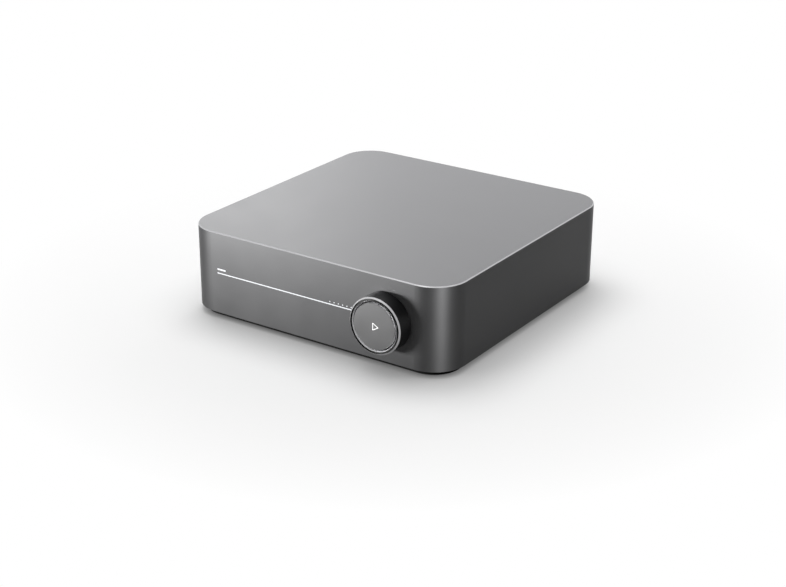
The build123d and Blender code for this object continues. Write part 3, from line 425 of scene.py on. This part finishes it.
def play_sign():
    low, _, centre = corners("play_button")
    deselect()
    bpy.ops.mesh.primitive_circle_add(
        vertices=3,
        radius=SIGN_RADIUS,
        fill_type="NGON",
        location=(centre.x + SIGN_SHIFT, low.y + SIGN_RISE, centre.z),
        rotation=(math.pi / 2, math.pi / 2, 0),
    )
    sign = opened()
    bpy.ops.mesh.select_all(action="SELECT")
    bpy.ops.mesh.bevel(offset=SIGN_ROUND, segments=SIGN_ROUND_STEPS, affect="VERTICES")
    pick(sign, lambda normal: True)
    bpy.ops.mesh.inset(thickness=SIGN_STROKE, depth=0)
    bpy.ops.mesh.delete(type="FACE")
    bpy.ops.mesh.select_all(action="SELECT")
    pull(0, -2 * SIGN_RISE, 0)
    face_outwards()
    settle(sign, "play_sign", "play_button", "lights")


# Contacts in the sockets, each group measured from the mouth and the roof of its socket
WIRE_COUNT = 8
WIRE_PITCH = 1.02 * MM
WIRE_WIDTH = 0.4 * MM
WIRE_START = 0.6 * MM
WIRE_DEPTH = 0.3 * MM
WIRE_BEHIND_MOUTH = 2.2 * MM
WIRE_BELOW_ROOF = 2.3 * MM
WIRE_RUNS = ((1.2 * MM, 0.1 * MM), (5.4 * MM, 2.9 * MM), (1.0 * MM, 0.2 * MM))
WIRE_ROUND = 0.07 * MM
STRIP_PROUD = 0.06 * MM
STRIP_ROUND = 0.03 * MM
USB_COUNT = 4
USB_PITCH = 2.2 * MM
USB_LENGTH = 6.4 * MM
USB_WIDTH = 1.1 * MM
USB_BEHIND_MOUTH = 4.0 * MM
DISPLAY_COUNT = 10
DISPLAY_PITCH = 0.95 * MM
DISPLAY_LENGTH = 5.6 * MM
DISPLAY_WIDTH = 0.42 * MM
DISPLAY_BEHIND_MOUTH = 3.4 * MM
FACES_FRONT = -0.5


def first_of(count, pitch, middle):
    """Place of the first piece of an even row."""
    return middle - (count - 1) / 2 * pitch


def network_contacts():
    """Sprung wires that slope down and back from the roof of the socket's mouth."""
    _, high, centre = corners("network_socket")
    first = first_of(WIRE_COUNT, WIRE_PITCH, centre.x)
    start = (first, high.y - WIRE_BEHIND_MOUTH, high.z - WIRE_BELOW_ROOF)
    wire = block(start, (WIRE_WIDTH, WIRE_START, WIRE_DEPTH))
    for reach, fall in WIRE_RUNS:
        pick(wire, lambda normal: normal.y < FACES_FRONT)
        pull(0, -reach, -fall)
    face_outwards()
    rounded(WIRE_ROUND)
    repeat(wire, [(step * WIRE_PITCH, 0, 0) for step in range(1, WIRE_COUNT)])
    settle(wire, "network_contacts", "housing", "gold")


def usb_contacts():
    """Strips on the open side of the upright tongue."""
    _, high, centre = corners("usb_tongue")
    first = first_of(USB_COUNT, USB_PITCH, centre.z)
    strip = block((high.x, high.y - USB_BEHIND_MOUTH, first), (2 * STRIP_PROUD, USB_LENGTH, USB_WIDTH))
    rounded(STRIP_ROUND)
    repeat(strip, [(0, 0, step * USB_PITCH) for step in range(1, USB_COUNT)])
    settle(strip, "usb_contacts", "housing", "gold")


def display_contacts():
    """Strips on the top of the tongue, and one fewer underneath, between them."""
    low, high, centre = corners("display_tongue")
    first = first_of(DISPLAY_COUNT, DISPLAY_PITCH, centre.x)
    start = (first, high.y - DISPLAY_BEHIND_MOUTH, high.z)
    strip = block(start, (DISPLAY_WIDTH, DISPLAY_LENGTH, 2 * STRIP_PROUD))
    rounded(STRIP_ROUND)
    above = [(step * DISPLAY_PITCH, 0, 0) for step in range(1, DISPLAY_COUNT)]
    below = [((step + 0.5) * DISPLAY_PITCH, 0, low.z - high.z) for step in range(DISPLAY_COUNT - 1)]
    repeat(strip, above + below)
    settle(strip, "display_contacts", "housing", "gold")


# Light windows above the network socket's mouth
WINDOW_ASIDE = 5.2 * MM
WINDOW_BELOW_ROOF = 0.95 * MM
WINDOW_SIZE = (2.6 * MM, 0.5 * MM, 1.1 * MM)
WINDOW_ROUND = 0.12 * MM
WINDOWS = (
    ("network_window_left", -1, plain_finish("green window", tone(92, 132, 84), 0.22, 0.5, 0.003)),
    ("network_window_right", 1, plain_finish("amber window", tone(168, 128, 62), 0.22, 0.5, 0.003)),
)


def network_windows():
    _, high, centre = corners("network_socket")
    for name, side, tint in WINDOWS:
        window = block((centre.x + side * WINDOW_ASIDE, high.y, high.z - WINDOW_BELOW_ROOF), WINDOW_SIZE)
        rounded(WINDOW_ROUND)
        settle(window, name, "housing", "lights")
        wear(window, tint)


# Printed signs at the speaker posts
PRINT_RISE = 0.02 * MM
POLE_HEIGHT = 5.0 * MM
SIDE_HEIGHT = 2.4 * MM
SIDE_ABOVE_POST = 8.1 * MM
PANEL_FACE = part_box("rear_panel")[1][1]


def printed(sign, name, x, z, height):
    """A printed sign on the rear panel, read from behind."""
    deselect()
    bpy.ops.object.text_add(location=(0, 0, 0))
    mark = bpy.context.object
    mark.data.body = sign
    mark.data.align_x = "CENTER"
    mark.data.align_y = "CENTER"
    mark.data.size = height
    mark.data.extrude = PRINT_RISE
    bpy.ops.object.convert(target="MESH")
    mark.location = (x, PANEL_FACE, z)
    mark.rotation_euler = (math.pi / 2, 0, math.pi)
    settle(mark, name, "housing", "white_plastic")


def post_signs():
    """Plus and minus between the posts, and a letter for the side above each pair."""
    posts = {side: corners(f"terminal_cap_{side}_red")[2] for side in ("left", "right")}
    lower = corners("terminal_cap_left_black")[2]
    between = (posts["left"].x + posts["right"].x) / 2
    printed("+", "sign_plus", between, posts["left"].z, POLE_HEIGHT)
    printed("-", "sign_minus", between, lower.z, POLE_HEIGHT)
    for side, centre in posts.items():
        printed(side[0].upper(), f"sign_{side}", centre.x, centre.z + SIDE_ABOVE_POST, SIDE_HEIGHT)


play_sign()
network_contacts()
usb_contacts()
display_contacts()
network_windows()
post_signs()

# Camera, from a fit on the photograph's edges
TURN = math.radians(34.153)
RISE = math.radians(22.861)
ROLL = math.radians(0.234)
SHELL_FOOT = 4.4 * MM
AIM = Vector((1.49 * MM, -9.32 * MM, SHELL_FOOT))
AWAY = 1.00802
FOCAL_PIXELS = 1589.4
IMAGE_WIDTH = 786
SENSOR_WIDTH = 36.0

lens = bpy.data.cameras.new("camera")
lens.sensor_width = SENSOR_WIDTH
lens.lens = FOCAL_PIXELS * SENSOR_WIDTH / IMAGE_WIDTH
camera = bpy.data.objects.new("camera", lens)
bpy.context.scene.collection.objects.link(camera)
back = Vector((math.sin(TURN) * math.cos(RISE), -math.cos(TURN) * math.cos(RISE), math.sin(RISE)))
camera.location = AIM + back * AWAY
camera.rotation_euler = back.to_track_quat("Z", "Y").to_matrix().to_euler()
camera.rotation_euler.rotate_axis("Z", ROLL)
bpy.context.scene.camera = camera
bpy.context.scene.view_settings.view_transform = "Standard"

# Floor: a card round the object, which takes the lamps' shadow, carries a painted shadow in its glow close
# to the object and runs out to plain white
FLOOR_SIZE = 8.0
CARD_NEAR = 120 * MM
CARD_FAR = 270 * MM
CARD_SHARE = 0.5
CARD_BOUNCE = grey(60)
# Reach and curve of the painted shadow: ambient occlusion dims the floor's glow close to the object
PAINTED_SHADOW_REACH = 45 * MM
PAINTED_SHADOW_CURVE = 0.6


def seen_directly(nodes):
    """1 where the camera, a reflection or a view through glass shows the surface, 0 for bounced light."""
    path = nodes.node("LightPath")
    either = nodes.math("MAXIMUM", path.outputs["Is Camera Ray"], path.outputs["Is Glossy Ray"])
    return nodes.math("MAXIMUM", either, path.outputs["Is Transmission Ray"])


def floor_finish():
    """Half of the card's light is its own glow, dimmed by ambient occlusion close to the object as a
    painted shadow. Far off, all of it is.
    """
    finish = Finish("pale floor", shine=0.0)
    seen = seen_directly(finish)
    reach = finish.node("VectorMath", operation="LENGTH")
    finish.join(finish.place, reach.inputs[0])
    away = finish.range(reach.outputs["Value"], 0.0, 1.0, CARD_NEAR, CARD_FAR)
    shade = finish.node("AmbientOcclusion")
    shade.inputs["Distance"].default_value = PAINTED_SHADOW_REACH
    card = [CARD_SHARE] * 3 + [1.0]
    finish.colour(finish.blend(seen, CARD_BOUNCE, finish.blend(away, card, grey(0))))
    finish.shader.inputs["Roughness"].default_value = 1.0
    finish.shader.inputs["Emission Color"].default_value = grey(255)
    # Painted shadow: the glow fades where ambient occlusion finds the object close by
    open_share = finish.math("POWER", shade.outputs["AO"], PAINTED_SHADOW_CURVE)
    near = finish.math("MULTIPLY", open_share, 1 - CARD_SHARE)
    rest = finish.math("MULTIPLY", finish.math("SUBTRACT", 1.0, near), away)
    glow = finish.math("ADD", near, rest)
    finish.join(finish.math("MULTIPLY", seen, glow), finish.shader.inputs["Emission Strength"])
    return finish.material


deselect()
bpy.ops.mesh.primitive_plane_add(size=FLOOR_SIZE, location=(0, 0, 0))
floor = bpy.context.object
floor.name = "floor"
wear(floor, floor_finish())

# World: white where it is seen, and nearly no light of its own
SKY_BOUNCED = 0.03
SKY_SEEN = 1.0

world = bpy.data.worlds.new("studio")
bpy.context.scene.world = world
world.use_nodes = True
sky = Nodes(world.node_tree)
backdrop = sky.tree.nodes["Background"]
backdrop.inputs["Color"].default_value = (1.0, 1.0, 1.0, 1.0)
level = sky.range(seen_directly(sky), SKY_BOUNCED, SKY_SEEN, 0.0, 1.0)
sky.join(level, backdrop.inputs["Strength"])

# Softboxes: name, place, point that they face, width, height, watts, and what they leave out. Two lie
# lower than the top of the housing, which would otherwise mirror them at a low angle.
LAMPS = (
    ("overhead", (-0.15, 0.12, 0.85), (0, 0, 0.05), 1.2, 1.2, 3.8, None),
    ("upper_left", (-0.2, 0.12, 0.65), (0, 0, 0.03), 0.4, 0.4, 2.5, None),
    ("behind", (-0.12, 0.75, 0.28), (0, 0, 0.03), 0.5, 0.4, 1.8, "visible_glossy"),
    ("low_left", (-0.23, -0.4, 0.035), (-0.02, -0.09, 0.035), 0.25, 0.035, 12.0, "visible_diffuse"),
    ("back_left", (-0.63, 0.5, 0.35), (0, 0, 0.06), 0.35, 0.35, 1.7, "visible_diffuse"),
    ("near_corner", (0.55, -0.42, 0.03), (0.09, -0.09, 0.03), 0.08, 0.045, 17.0, "visible_diffuse"),
)


def softbox(name, place, target, width, height, watts, left_out):
    """Rectangular lamp that faces a point."""
    data = bpy.data.lights.new(name, "AREA")
    data.shape = "RECTANGLE"
    data.size = width
    data.size_y = height
    data.energy = watts
    lamp = bpy.data.objects.new(name, data)
    bpy.context.scene.collection.objects.link(lamp)
    lamp.location = place
    lamp.rotation_euler = (Vector(place) - Vector(target)).to_track_quat("Z", "Y").to_euler()
    if left_out:
        setattr(lamp, left_out, False)
    return lamp


lamps = {lamp[0]: softbox(*lamp) for lamp in LAMPS}

# The lamp at the near corner lights the housing alone, or it would burn out the knob's edge
lit = bpy.data.collections.new("near_corner_lit")
lit.objects.link(frame["nodes"]["housing"])
lamps["near_corner"].light_linking.receiver_collection = lit
